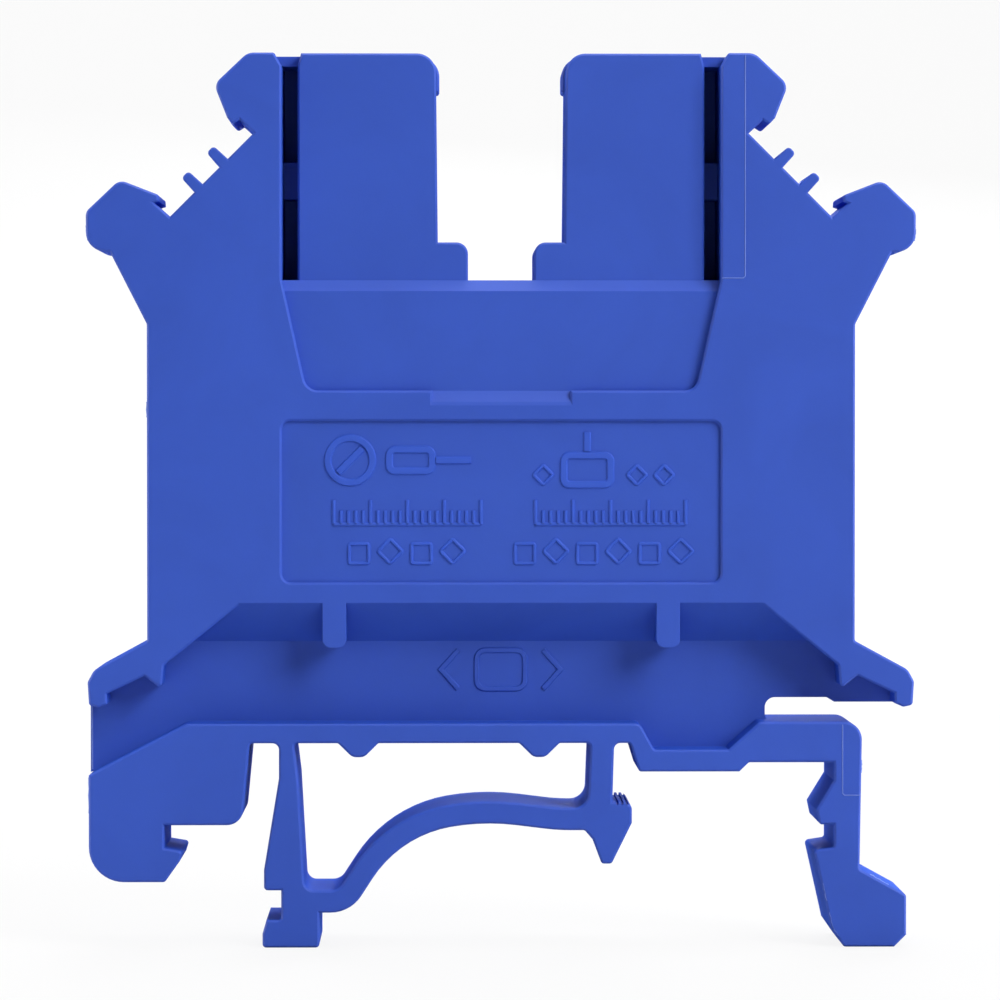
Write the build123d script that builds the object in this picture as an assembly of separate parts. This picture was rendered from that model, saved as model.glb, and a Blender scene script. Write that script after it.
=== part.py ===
from build123d import *
from math import cos, radians, sin, tan
import os

# Feed-through screw terminal block for a 35 mm rail. All sizes are in millimetres.
# X runs along the block from one wire entry to the other, Y is its thickness with the closed side
# at -Y, and Z is up. The origin is on the rail's top face, midway along the block.

# Block
block_thickness = 6.2
closed_skin = 0.95
wall = 1.0
past_face = 1.0

# Clamps, from the block's middle outwards
clamp_x = 6.9
clamp_y = 0.5
tower_width = 7.1
marker_slot_width = 0.8
column_width = 6.89
bridge_gap = 3.4

# Current bar
bar_thickness = 1.0
bar_width = 2.8
bar_overhang = 3.9
bar_side_clearance = 0.05
bar_corner = 0.4
bridge_thread_radius = 1.25
bridge_collar_radius = 1.9
bridge_collar_depth = 0.8
grip_groove_width = 0.5
grip_groove_depth = 0.15
grip_groove_pitch = 0.9
grip_groove_count = 5

# Clamp cage, a strip bent into a loop with its ends lapped at the top
strip_thickness = 0.9
cage_length = 6.0
cage_inner_width = 3.0
cage_bend_radius = 1.0
cage_inner_radius = 0.25
cage_lap_kerf = 0.1
cage_top_clearance = 0.2
wire_space = 3.3
closed_gap = 0.1
cage_side_clearance = 0.3
cage_floor_clearance = 0.2
cage_front_clearance = 0.25

# Clamp screw
thread_radius = 1.45
thread_clearance = 0.05
screw_head_radius = 2.3
screw_head_height = 2.0
screw_head_chamfer = 0.2
screw_tip_chamfer = 0.4
screw_slot_width = 0.7
screw_slot_depth = 0.9
head_clearance_below = 0.3
head_clearance_side = 0.2
driver_shaft_width = 4.4
driver_shaft_skin = 0.5
shaft_corner = 0.3

# Heights from the rail upwards
frame_under_z = 4.2
frame_beam = 1.0
lower_recess_height = 6.2
chamber_floor = 0.8
deck_above_head = 2.85
tower_height = 11.6
tower_rise = 0.05

# Closed side, depths measured back from the front face
tower_setback = 1.0
panel_depth = 0.5
label_depth = 0.25
lower_recess_depth = 2.5

# Marker arm corners: distance outboard of the arm's inner face, drop below the top, rounding
arm_bevel_foot = (0.0, 0.66)
arm_bevel_top = (0.37, 0.0, 0.16)
arm_crown = (1.72, 0.0, 0.8)
arm_shoulder = (3.44, 1.63, 0.6)
arm_lip_bevel = (2.77, 3.32)
arm_lip_tip = (2.47, 3.64, 0.16)
arm_lip_root = (2.14, 3.43)
groove_head = (1.41, 4.10)
groove_length = 6.08
groove_angle = 45.0

# Marker ribs in the groove, their middle measured from its head
rib_middle = 3.09
rib_pitch = 1.82
rib_height = 0.98
rib_base = 0.6
rib_tip = 0.5
rib_tip_rounding = 0.2
rib_root_overlap = 0.3

# Knob corners: distance outboard of the groove's foot, rise above it, rounding
knob_lip_root = (0.80, 0.72)
knob_lip_low = (0.56, 0.80)
knob_lip_top = (0.58, 1.13, 0.16)
knob_crown = (2.56, 1.90, 0.6)
knob_shoulder = (4.29, 0.26, 0.5)
knob_heel = (4.28, -1.80, 1.0)
knob_root = (3.07, -1.77, 0.1)
column_taper_height = 3.70
column_corner = 0.3

# Flange corners: distance outboard of the column's side, drop below the recess's ceiling, rounding
flange_root = (0.0, 1.96, 0.15)
flange_shoulder = (2.72, 3.44, 0.7)
flange_tip = (3.05, 4.05, 0.3)
flange_toe = (2.98, 5.25, 0.2)
flange_heel = (2.5, 5.36, 0.2)
flange_step_low = (2.06, 5.17)
flange_step_high = (2.06, 4.65)
flange_ceiling = (0.14, 3.73, 0.1)
flange_tooth = (-0.74, 4.44, 0.16)
flange_tooth_root = (-0.84, 3.20, 0.15)
recess_corner = (-4.81, 0.0)

# Sloping ceiling and pegs of the lower recess
ceiling_slope_height = 2.07
ceiling_slope_overrun = 2.9
peg_x = 8.56
peg_width = 1.2
peg_length = 2.31

# Panel between the arms
panel_foot_half = 9.98
panel_foot_z = 22.27
panel_corner = 0.75
panel_top_slope = 0.57
panel_ledge_half = 3.54
panel_ledge_height = 0.66

# Label recess
label_half = 11.25
label_top_z = 20.72
label_bottom_z = 12.44
label_corner = 0.46

# Towers
tower_corner = 1.0
tower_bevel_width = 0.18
tower_bevel_height = 0.67
tower_draft = 0.1
tower_lip = 0.18
tower_lip_height = 1.82
tower_lip_front = 0.6
bridge_mouth_above_deck = 1.95
bridge_mouth_corner = 0.6

# Webs across the marker slot, as distance from the front face and height below the top
slot_back_wall = 1.2
slot_bar_depth = 2.0
slot_bar_top_drop = 0.05
slot_bar_height = 0.51
slot_band_depth = 3.0
slot_band_drop = 5.45
slot_band_height = 1.9

# Bridge screw shaft down to the current bar
bridge_shaft_front = 1.95
bridge_shaft_corner = 0.4
bar_support_rib = 1.0

# Wire entry
wire_slot_radius = 1.55
funnel_roof_rise = 0.5
mouth_above_bar = 3.2
mouth_below_axis = 3.3

# Core pockets moulded from the open side
foot_core_front = 1.9

# Lower web
web_thickness = 1.2
web_left = 21.22
web_right_top = 21.1
web_right_under_z = 6.16
web_right_step_z = 6.4
web_step_x = 17.3
web_step_run = 0.4
flange_slot_x = 13.7

# Frame along the rail
frame_ramp_x = 16.15
frame_dip_left = 7.1
frame_dip_run = 0.65
frame_dip_floor_left = 7.85
frame_dip_floor_right = 11.66
frame_dip_rise_x = 13.25
frame_dip_z = 3.85
frame_keel_z = 2.73
frame_keel_left = 7.07
frame_keel_ramp = 6.61
frame_keel_right = 12.22
frame_right_rise = 0.07
frame_right_under_z = 3.2
frame_right_under_x = 12.71

# Left foot, rigid
left_foot_outer = 21.14
left_foot_top_z = 2.55
left_foot_inner_top = 12.9
left_foot_inner_low = 13.3
left_foot_inner_corner = 0.85
left_notch_x = 17.28
rail_notch = 1.18
left_lip_reach = 0.95
left_lip_slope = 0.67
left_heel_x = 17.25
left_foot_bottom_z = -2.92
left_foot_corner = 1.8

# Right foot, sprung
right_foot_outer = 18.53
right_foot_shoulder = 0.9
right_notch_x = 17.09
right_tooth_reach = 0.91
right_tooth_z = 0.77
right_tooth_root_z = 2.25
right_lip_reach = 1.04
right_lip_z = -1.34
right_hook_root_x = 18.4
right_hook_root_z = -2.3
right_hook_outer = 20.8
right_hook_shoulder_z = -3.62
right_hook_bevel = 0.62
right_sole_left = 17.6
right_sole_corner_x = 16.95
right_sole_corner_z = -5.35

# Bottom of the leg and the right foot
sole_z = -6.29

# Leg
leg_top_left = 11.4
leg_top_right = 10.64
leg_neck_right = 10.42
leg_neck_z = 2.4
leg_ankle_left = 12.17
leg_ankle_right = 10.06
leg_ankle_z = -2.3
leg_step_z = -3.35
leg_waist_x = 11.29
leg_toe_x = 12.25
leg_toe_z = -4.88
leg_toe_bevel = (0.2, 0.7)
leg_heel_x = 9.33

# Bow spring between leg and nose, a band of even thickness along tangent arcs
bow_thickness = 1.14
bow_foot_x = 8.76
bow_foot_z = -3.93
bow_foot_radius = 1.3
bow_rise_angle = 57.0
bow_straight = 1.06
bow_shoulder_radius = 6.6
bow_shoulder_angle = 47.0
bow_crown_radius = 12.0
bow_crown_angle = 17.0
bow_fall_length = 1.5
bow_fall_radius = 10.0
bow_fall_angle = 7.0
valley_rounding = 0.5

# Nose
nose_post_left = 4.58
nose_post_right = 5.79
nose_neck_left = 4.45
nose_neck_right = 5.7
nose_shelf_z = 1.17
nose_tip_x = 6.7
nose_tip_low_z = 0.1
nose_tip_rounding = 0.4
nose_point_z = -2.0
nose_point_left = 5.15
nose_point_right = 5.66
nose_back_x = 4.68
nose_back_z = -0.75
nose_back_step = 0.4
nose_fillet = 0.8
nose_notch_count = 3
nose_notch_width = 0.12
nose_notch_depth = 0.14

# Bumps under the frame
bump_left_x = -7.34
bump_right_x = 1.95
bump_width = 2.07
bump_flat = 0.6
bump_height = 0.72
bump_rounding = 0.5

# Bevels on the rims of the flat sides, and roundings of small corners
rim_bevel = 0.1
rib_rim_bevel = 0.06
edge_rounding = 0.2
fine_rounding = 0.16
root_rounding = 0.34

# How near two edges lie to count as in one place
same_place = 0.001

# Places worked out from the sizes above
front_y = -block_thickness / 2
back_y = block_thickness / 2
skin_y = front_y + closed_skin
frame_top_z = frame_under_z + frame_beam
frame_right_top_z = frame_top_z + frame_right_rise
recess_ceiling_z = frame_top_z + lower_recess_height
chamber_floor_z = recess_ceiling_z + chamber_floor
cage_bottom_z = chamber_floor_z + cage_floor_clearance
bar_bottom_z = cage_bottom_z + strip_thickness + wire_space
bar_top_z = bar_bottom_z + bar_thickness
cage_height = 3 * strip_thickness + wire_space + bar_thickness + cage_top_clearance
cage_lift = wire_space - closed_gap
head_bottom_z = cage_bottom_z + cage_height + cage_lift + head_clearance_below
head_top_z = head_bottom_z + screw_head_height
deck_z = head_top_z + deck_above_head
top_z = deck_z + tower_height
tower_inner_x = clamp_x - tower_width / 2
tower_outer_x = clamp_x + tower_width / 2
arm_inner_x = tower_outer_x + marker_slot_width
body_half = arm_inner_x + column_width
chamber_inner_x = clamp_x - cage_length / 2 - cage_side_clearance
chamber_outer_x = clamp_x + cage_length / 2 + cage_side_clearance
funnel_inner_x = chamber_outer_x + wall
wire_axis_z = cage_bottom_z + strip_thickness + wire_slot_radius + bar_side_clearance
cage_outer_width = cage_inner_width + 2 * strip_thickness
groove_reach = groove_length * cos(radians(groove_angle))
groove_head_x = arm_inner_x + groove_head[0]
groove_head_z = top_z - groove_head[1]
groove_foot_x = groove_head_x + groove_reach
groove_foot_z = groove_head_z - groove_reach
bar_length = 2 * (clamp_x + bar_overhang)
knob_root_z = groove_foot_z + knob_root[1]


def outline(corners):
    """Closed face through corners given as (x, z) or (x, z, rounding radius)."""
    points = [Vector(corner[0], corner[1]) for corner in corners]
    radii = [corner[2] if len(corner) > 2 else 0 for corner in corners]
    edges = []
    stretches = []
    for index, point in enumerate(points):
        to_last = (points[index - 1] - point).normalized()
        to_next = (points[(index + 1) % len(points)] - point).normalized()
        half_angle = radians(to_last.get_angle(to_next)) / 2
        start = point + to_last * (radii[index] / tan(half_angle))
        end = point + to_next * (radii[index] / tan(half_angle))
        if radii[index] > 0:
            inward = (to_last + to_next).normalized()
            middle = point + inward * (radii[index] / sin(half_angle) - radii[index])
            edges.append(ThreePointArc(start, middle, end))
        stretches.append((start, end))
    for index, stretch in enumerate(stretches):
        if (stretch[0] - stretches[index - 1][1]).length > same_place:
            edges.append(Line(stretches[index - 1][1], stretch[0]))
    return make_face(edges)


def rectangle(x_low, x_high, low, high, rounding=0):
    """Rectangle between two corners, with all four corners rounded alike."""
    corners = [(x_low, low), (x_high, low), (x_high, high), (x_low, high)]
    return outline([(*corner, rounding) for corner in corners])


def both_halves(corners):
    """Corner list of a symmetric outline, from the corners of its right half."""
    return corners + [(-corner[0], *corner[1:]) for corner in reversed(corners)]


def across(face, start_y, end_y):
    """Solid whose X-Z section is the face, between two places along Y."""
    plane = Plane(origin=(0, end_y, 0), x_dir=(1, 0, 0), z_dir=(0, -1, 0))
    return extrude(plane * face, amount=end_y - start_y)


def along(face, start_x, end_x):
    """Solid whose Y-Z section is the face, between two places along X."""
    plane = Plane(origin=(start_x, 0, 0), x_dir=(0, 1, 0), z_dir=(1, 0, 0))
    return extrude(plane * face, amount=end_x - start_x)


def upward(face, low_z, high_z):
    """Solid whose X-Y section is the face, between two heights."""
    return extrude(Plane.XY.offset(low_z) * face, amount=high_z - low_z)


def edges_at(edges, axis, place):
    """Those of the edges that lie at one place along the axis."""
    return edges.filter_by_position(axis, place - same_place, place + same_place)


def rim(solid, y):
    """Edges of the solid's flat side at y."""
    return edges_at(solid.edges(), Axis.Y, y)


def moulded(face, start_y, end_y, bevel=rim_bevel):
    """Like across, with the rims of both flat sides bevelled."""
    solid = across(face, start_y, end_y)
    return chamfer(rim(solid, start_y) + rim(solid, end_y), bevel)


def with_mirror(shape):
    """The shape and its mirror image across the block's middle."""
    return shape + mirror(shape, about=Plane.YZ)


def on_arm(place):
    return (arm_inner_x + place[0], top_z - place[1], *place[2:])


def on_knob(place):
    return (groove_foot_x + place[0], groove_foot_z + place[1], *place[2:])


def on_flange(place):
    return (body_half + place[0], recess_ceiling_z - place[1], *place[2:])


def body_face():
    """Columns, arms, knobs and flanges in one outline, full thickness."""
    arm = [arm_bevel_foot, arm_bevel_top, arm_crown, arm_shoulder]
    arm += [arm_lip_bevel, arm_lip_tip, arm_lip_root, groove_head]
    knob = [knob_lip_root, knob_lip_low, knob_lip_top, knob_crown, knob_shoulder, knob_heel, knob_root]
    flange = [flange_root, flange_shoulder, flange_tip, flange_toe, flange_heel, flange_step_low]
    flange += [flange_step_high, flange_ceiling, flange_tooth, flange_tooth_root, recess_corner]
    half = [(arm_inner_x, deck_z)]
    half += [on_arm(place) for place in arm]
    half += [(groove_foot_x, groove_foot_z)]
    half += [on_knob(place) for place in knob]
    half += [(body_half, knob_root_z - column_taper_height, column_corner)]
    half += [on_flange(place) for place in flange]
    return outline(both_halves(half))


def marker_ribs():
    """Two small ribs that stand square to each marker groove's floor."""
    ribs = []
    for step in (-0.5, 0.5):
        distance = rib_middle + step * rib_pitch
        x = groove_head_x + distance * cos(radians(groove_angle))
        z = groove_head_z - distance * sin(radians(groove_angle))
        root = -rib_root_overlap
        corners = [(-rib_base / 2, root), (rib_base / 2, root), (rib_base / 2, 0)]
        corners += [(rib_tip / 2, rib_height, rib_tip_rounding), (-rib_tip / 2, rib_height, rib_tip_rounding)]
        corners += [(-rib_base / 2, 0)]
        ribs.append(Pos(x, z) * Rot(0, 0, -groove_angle) * outline(corners))
    return with_mirror(moulded(ribs[0] + ribs[1], front_y, back_y, rib_rim_bevel))


def towers():
    """Screw towers, set back from the front face, with a lip along the open side of the gap."""
    tower_front_y = front_y + tower_setback
    step_z = deck_z + bridge_mouth_above_deck
    corners = [(bridge_gap / 2, deck_z - wall), (bridge_gap / 2, step_z, bridge_mouth_corner)]
    tower_top_z = top_z + tower_rise
    corners += [(tower_inner_x - tower_draft, step_z), (tower_inner_x, tower_top_z, tower_corner)]
    corners += [(tower_outer_x - tower_bevel_width, tower_top_z)]
    corners += [(tower_outer_x, tower_top_z - tower_bevel_height), (tower_outer_x, deck_z - wall)]
    lip_low = tower_top_z - tower_lip_height
    lip_x = tower_inner_x - tower_lip
    lip = [(lip_x, lip_low, fine_rounding), (lip_x, tower_top_z, tower_corner)]
    lip += [(clamp_x, tower_top_z), (clamp_x, lip_low)]
    tower = moulded(outline(corners), tower_front_y, back_y)
    tower += moulded(outline(lip), tower_lip_front, back_y)
    return with_mirror(tower)


def marker_slot_webs():
    """Back wall, top bar and middle band that join each tower to its arm."""
    inner = tower_outer_x - wall / 2
    outer = arm_inner_x + wall / 2
    bar_top = top_z - slot_bar_top_drop
    band_top = top_z - slot_band_drop
    wall_face = rectangle(inner, outer, deck_z - wall, bar_top)
    bar_face = rectangle(inner, outer, bar_top - slot_bar_height, bar_top)
    band_face = rectangle(inner, outer, band_top - slot_band_height, band_top)
    webs = across(wall_face, back_y - slot_back_wall, back_y)
    webs += across(bar_face, front_y + slot_bar_depth, back_y)
    webs += across(band_face, front_y + slot_band_depth, back_y)
    return with_mirror(webs)


def panel_cut():
    """Recessed panel below the towers, with a sloping top edge and a sloping ledge at its foot."""
    panel_y = front_y + panel_depth
    half = [(arm_inner_x, deck_z + past_face), (arm_inner_x, deck_z)]
    half += [(panel_foot_half, panel_foot_z, panel_corner)]
    cut = across(outline(both_halves(half)), front_y - past_face, panel_y)
    slope = [(panel_y, deck_z - panel_top_slope), (front_y + tower_setback, deck_z), (panel_y, deck_z)]
    cut += along(outline(slope), -arm_inner_x, arm_inner_x)
    ledge = [(front_y, panel_foot_z - panel_ledge_height), (panel_y, panel_foot_z), (front_y, panel_foot_z)]
    cut += along(outline(ledge), -panel_ledge_half, panel_ledge_half)
    return cut


def label_cut():
    face = rectangle(-label_half, label_half, label_bottom_z, label_top_z, label_corner)
    return across(face, front_y - past_face, front_y + label_depth)


def upper_body():
    """Columns, arms, knobs and flanges with the panel and label recesses, all rims bevelled.

    The rim stays sharp only where the lower recess's sloping ceiling carries on from it.
    """
    body = across(body_face(), front_y, back_y)
    body -= panel_cut()
    body -= label_cut()
    front_rim = rim(body, front_y)
    front_rim = front_rim - edges_at(front_rim, Axis.Z, recess_ceiling_z)
    return chamfer(front_rim + rim(body, back_y), rim_bevel)


def recess_ceiling():
    """Sloping ceiling of the lower recess and the two round-ended pegs that hang from it."""
    web_y = front_y + lower_recess_depth
    reach = body_half + recess_corner[0] + ceiling_slope_overrun
    slope = [(front_y, recess_ceiling_z), (web_y, recess_ceiling_z - ceiling_slope_height)]
    slope += [(web_y, recess_ceiling_z)]
    ceiling = along(outline(slope), -reach, reach)
    peg_left = peg_x - peg_width / 2
    peg_right = peg_x + peg_width / 2
    peg_low = recess_ceiling_z - peg_length
    peg_high = recess_ceiling_z + wall / 2
    peg_round = peg_width / 2 - fine_rounding
    peg = [(peg_left, peg_low, peg_round), (peg_right, peg_low, peg_round)]
    peg += [(peg_right, peg_high), (peg_left, peg_high)]
    return ceiling + with_mirror(across(outline(peg), front_y, web_y))


def lower_web():
    """Thin web between the flanges and the frame, open at the right above the sprung foot."""
    root_z = frame_top_z - frame_beam / 2
    slot_round = (web_right_step_z - frame_top_z) / 2 - fine_rounding / 2
    ceiling_z = recess_ceiling_z + chamber_floor / 2
    flange_root_z = recess_ceiling_z - flange_root[1]
    flange_tip_z = recess_ceiling_z - flange_tip[1]
    corners = [(-web_left, left_foot_top_z), (-web_left, flange_tip_z)]
    corners += [(-body_half, flange_root_z), (-body_half, ceiling_z), (body_half, ceiling_z)]
    corners += [(body_half, flange_root_z), (web_right_top, flange_tip_z)]
    corners += [(web_right_top, web_right_under_z), (web_step_x, web_right_under_z)]
    corners += [(web_step_x - web_step_run, web_right_step_z)]
    corners += [(flange_slot_x, web_right_step_z, slot_round)]
    corners += [(flange_slot_x, frame_right_top_z, edge_rounding), (web_step_x, frame_right_top_z)]
    corners += [(web_step_x, root_z), (frame_dip_rise_x, root_z)]
    dip_root_z = frame_dip_z - frame_beam / 2
    corners += [(frame_dip_floor_right, dip_root_z), (frame_dip_floor_left, dip_root_z)]
    corners += [(frame_dip_left, root_z), (-frame_ramp_x, root_z)]
    return across(outline(corners), -web_thickness / 2, web_thickness / 2)


def bump_corners(x):
    """Corners of one rounded bump under the frame, from right to left."""
    low_z = frame_under_z - bump_height
    right = [(x + bump_width / 2, frame_under_z, fine_rounding), (x + bump_flat / 2, low_z, bump_rounding)]
    left = [(x - bump_flat / 2, low_z, bump_rounding), (x - bump_width / 2, frame_under_z, fine_rounding)]
    return right + left


def frame_face():
    """Rigid left foot, beam and sprung right foot along the rail, in one outline."""
    corners = [(-left_foot_outer, left_foot_top_z), (-frame_ramp_x, frame_top_z, edge_rounding)]
    corners += [(frame_dip_left, frame_top_z, frame_dip_run - edge_rounding)]
    corners += [(frame_dip_floor_left, frame_dip_z, edge_rounding), (frame_dip_floor_right, frame_dip_z)]
    corners += [(frame_dip_rise_x, frame_right_top_z, edge_rounding)]
    corners += [(right_foot_outer, frame_right_top_z, right_foot_shoulder)]
    corners += [(right_hook_root_x, right_hook_root_z, edge_rounding)]
    corners += [(right_hook_outer, right_hook_shoulder_z, edge_rounding)]
    corners += [(right_hook_outer, sole_z + right_hook_bevel), (right_hook_outer - right_hook_bevel, sole_z)]
    corners += [(right_sole_left, sole_z, edge_rounding), (right_sole_corner_x, right_sole_corner_z)]
    corners += [(right_notch_x - right_lip_reach, right_lip_z, edge_rounding)]
    corners += [(right_notch_x, -rail_notch, fine_rounding), (right_notch_x, 0)]
    corners += [(right_notch_x - right_tooth_reach + fine_rounding, 0, fine_rounding)]
    corners += [(right_notch_x - right_tooth_reach, right_tooth_z, fine_rounding)]
    corners += [(right_notch_x, right_tooth_root_z), (right_notch_x, frame_right_under_z)]
    corners += [(frame_right_under_x, frame_right_under_z, edge_rounding), (frame_keel_right, frame_keel_z)]
    corners += [(frame_keel_left, frame_keel_z, fine_rounding)]
    corners += [(frame_keel_ramp, frame_under_z, edge_rounding)]
    corners += bump_corners(bump_right_x)
    corners += bump_corners(bump_left_x)
    corners += [(-left_foot_inner_top, frame_under_z), (-left_foot_inner_low, 0, left_foot_inner_corner)]
    corners += [(-left_notch_x, 0), (-left_notch_x, -rail_notch)]
    corners += [(-left_notch_x + left_lip_reach, -rail_notch - fine_rounding, fine_rounding)]
    corners += [(-left_notch_x + left_lip_reach - fine_rounding, -rail_notch - left_lip_slope, fine_rounding)]
    corners += [(-left_heel_x, left_foot_bottom_z, edge_rounding)]
    corners += [(-left_foot_outer, left_foot_bottom_z, left_foot_corner)]
    return outline(corners)


def leg_face():
    corners = [(-leg_top_left, frame_top_z - edge_rounding), (-leg_top_left, leg_neck_z)]
    corners += [(-leg_ankle_left, leg_ankle_z, edge_rounding), (-leg_ankle_left, leg_step_z, edge_rounding)]
    corners += [(-leg_waist_x, leg_step_z), (-leg_waist_x, leg_toe_z, fine_rounding)]
    corners += [(-leg_toe_x + leg_toe_bevel[0], leg_toe_z), (-leg_toe_x, leg_toe_z - leg_toe_bevel[1])]
    corners += [(-leg_toe_x, sole_z, edge_rounding)]
    corners += [(-leg_heel_x, sole_z, edge_rounding), (-leg_heel_x, bow_foot_z)]
    corners += [(-leg_ankle_right, bow_foot_z), (-leg_neck_right, leg_neck_z)]
    corners += [(-leg_top_right, frame_under_z), (-leg_top_right, frame_top_z - edge_rounding)]
    return outline(corners)


def bow_path():
    """Middle line of the bow spring: tangent arcs from the leg, then a level stretch into the nose."""
    start = Line((-leg_ankle_right - edge_rounding, bow_foot_z), (-bow_foot_x, bow_foot_z))
    foot = JernArc(start @ 1, start % 1, bow_foot_radius, bow_rise_angle)
    rise = PolarLine(foot @ 1, bow_straight, direction=foot % 1)
    shoulder = JernArc(rise @ 1, rise % 1, bow_shoulder_radius, -bow_shoulder_angle)
    crown = JernArc(shoulder @ 1, shoulder % 1, bow_crown_radius, -bow_crown_angle)
    fall = PolarLine(crown @ 1, bow_fall_length, direction=crown % 1)
    level = JernArc(fall @ 1, fall % 1, bow_fall_radius, bow_fall_angle)
    tail = Line(level @ 1, (nose_post_left + edge_rounding, (level @ 1).Y))
    return [start, foot, rise, shoulder, crown, fall, level, tail]


def nose_face(bow_end):
    """Post and pointed nose, rooted in the bow spring's level stretch."""
    top_z_of_bow = bow_end.Y + bow_thickness / 2
    low_z_of_bow = bow_end.Y - bow_thickness / 2
    root_fillet = min(nose_fillet, nose_neck_left - bow_end.X)
    corners = [(nose_post_right, frame_top_z - edge_rounding), (nose_post_right, frame_under_z)]
    corners += [(nose_neck_right, nose_shelf_z), (nose_tip_x, nose_shelf_z, nose_tip_rounding)]
    corners += [(nose_tip_x, nose_tip_low_z, fine_rounding)]
    corners += [(nose_point_right, nose_point_z, edge_rounding)]
    corners += [(nose_point_left, nose_point_z, edge_rounding), (nose_back_x, nose_back_z, edge_rounding)]
    corners += [(nose_back_x - nose_back_step, low_z_of_bow, edge_rounding), (bow_end.X, low_z_of_bow)]
    corners += [(bow_end.X, top_z_of_bow), (nose_neck_left, top_z_of_bow, root_fillet)]
    corners += [(nose_post_left, frame_under_z), (nose_post_left, frame_top_z - edge_rounding)]
    return outline(corners)


def nose_notches():
    """Small notches across the nose's shelf."""
    pitch = (nose_tip_x - nose_neck_right) / (nose_notch_count + 1)
    cuts = []
    for index in range(nose_notch_count):
        x = nose_neck_right + (index + 1) * pitch
        half = nose_notch_width / 2
        face = rectangle(x - half, x + half, nose_shelf_z - nose_notch_depth, nose_shelf_z + wall)
        cuts.append(across(face, front_y - past_face, back_y + past_face))
    return cuts


def clamp_chamber():
    """Chamber for the cage, pocket for the screw head and shaft for the screwdriver."""
    chamber_front = clamp_y - cage_outer_width / 2 - cage_front_clearance
    head_half = screw_head_radius + head_clearance_side
    shaft_half = driver_shaft_width / 2
    shaft_front = front_y + tower_setback + driver_shaft_skin
    open_y = back_y + past_face
    chamber = rectangle(chamber_inner_x, chamber_outer_x, chamber_front, open_y)
    cut = upward(chamber, chamber_floor_z, head_bottom_z)
    head = rectangle(clamp_x - head_half, clamp_x + head_half, clamp_y - head_half, open_y, shaft_corner)
    cut += upward(head, head_bottom_z - fine_rounding, head_top_z + head_clearance_side)
    shaft = rectangle(clamp_x - shaft_half, clamp_x + shaft_half, shaft_front, open_y, shaft_corner)
    cut += upward(shaft, head_top_z, top_z + past_face)
    return with_mirror(cut)


def bar_seat():
    """Slot that holds the current bar through the chamber walls."""
    half = bar_length / 2 + 2 * bar_side_clearance
    front = clamp_y - bar_width / 2 - bar_side_clearance
    face = rectangle(-half, half, bar_bottom_z, bar_top_z + bar_side_clearance)
    return across(face, front, back_y + past_face)


def bridge_shaft():
    """Shaft from the gap between the towers down to the bar, and the core below the bar."""
    half = bridge_gap / 2
    plan = rectangle(-half, half, front_y + bridge_shaft_front, back_y + past_face, bridge_shaft_corner)
    cut = upward(plan, bar_top_z, deck_z + past_face)
    core_half = chamber_inner_x - bar_support_rib
    core = rectangle(-core_half, core_half, chamber_floor_z, bar_bottom_z)
    return cut + across(core, skin_y, back_y + past_face)


def wire_entry():
    """Slot with a rounded front end through the chamber wall, opening into a funnel."""
    open_y = back_y + past_face
    low_z = wire_axis_z - wire_slot_radius
    slot = Pos(clamp_y, wire_axis_z) * Circle(wire_slot_radius)
    slot += rectangle(clamp_y, open_y, low_z, bar_bottom_z + fine_rounding)
    cut = along(slot, chamber_outer_x - fine_rounding, funnel_inner_x + fine_rounding)
    throat = rectangle(clamp_y - wire_slot_radius, open_y, low_z, bar_top_z + funnel_roof_rise)
    mouth_low = wire_axis_z - mouth_below_axis
    mouth = rectangle(clamp_y - wire_slot_radius - wall, open_y, mouth_low, bar_top_z + mouth_above_bar)
    throat_plane = Plane(origin=(funnel_inner_x, 0, 0), x_dir=(0, 1, 0), z_dir=(1, 0, 0))
    mouth_plane = Plane(origin=(body_half, 0, 0), x_dir=(0, 1, 0), z_dir=(1, 0, 0))
    cut += loft([(throat_plane * throat).face(), (mouth_plane * mouth).face()])
    return with_mirror(cut)


def arm_core():
    """Pocket that keeps the column, arm and knob at an even wall, open at the back."""
    roof_inner = bar_top_z + funnel_roof_rise
    roof_outer = bar_top_z + mouth_above_bar
    corners = [(arm_inner_x, roof_inner), (body_half, roof_outer)]
    corners += [(body_half, knob_root_z - column_taper_height)]
    knob = (knob_root, knob_heel, knob_shoulder, knob_crown, knob_lip_low)
    corners += [on_knob(place)[:2] for place in knob]
    corners += [(groove_foot_x, groove_foot_z), (groove_head_x, groove_head_z), (arm_inner_x, groove_head_z)]
    core = offset(outline(corners), amount=-wall, kind=Kind.INTERSECTION)
    return with_mirror(across(core, skin_y, back_y + past_face))


def foot_core():
    """Pocket in the rigid left foot, open at the back."""
    inner_low = wall
    inner = left_foot_inner_low + wall
    outer = left_foot_outer - wall
    corners = [(-outer, left_foot_bottom_z + wall, edge_rounding), (-outer, left_foot_top_z, edge_rounding)]
    corners += [(-frame_ramp_x, frame_under_z, edge_rounding)]
    corners += [(-inner, frame_under_z, edge_rounding), (-inner, inner_low, edge_rounding)]
    corners += [(-left_notch_x - wall, inner_low, edge_rounding)]
    corners += [(-left_notch_x - wall, left_foot_bottom_z + wall, edge_rounding)]
    return across(outline(corners), front_y + foot_core_front, back_y + past_face)


def rounded_at(face, x, z, radius):
    """The face with its corner nearest to a place rounded."""
    corner = face.vertices().sort_by_distance(Vector(x, z))[0]
    return fillet(corner, radius)


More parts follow.
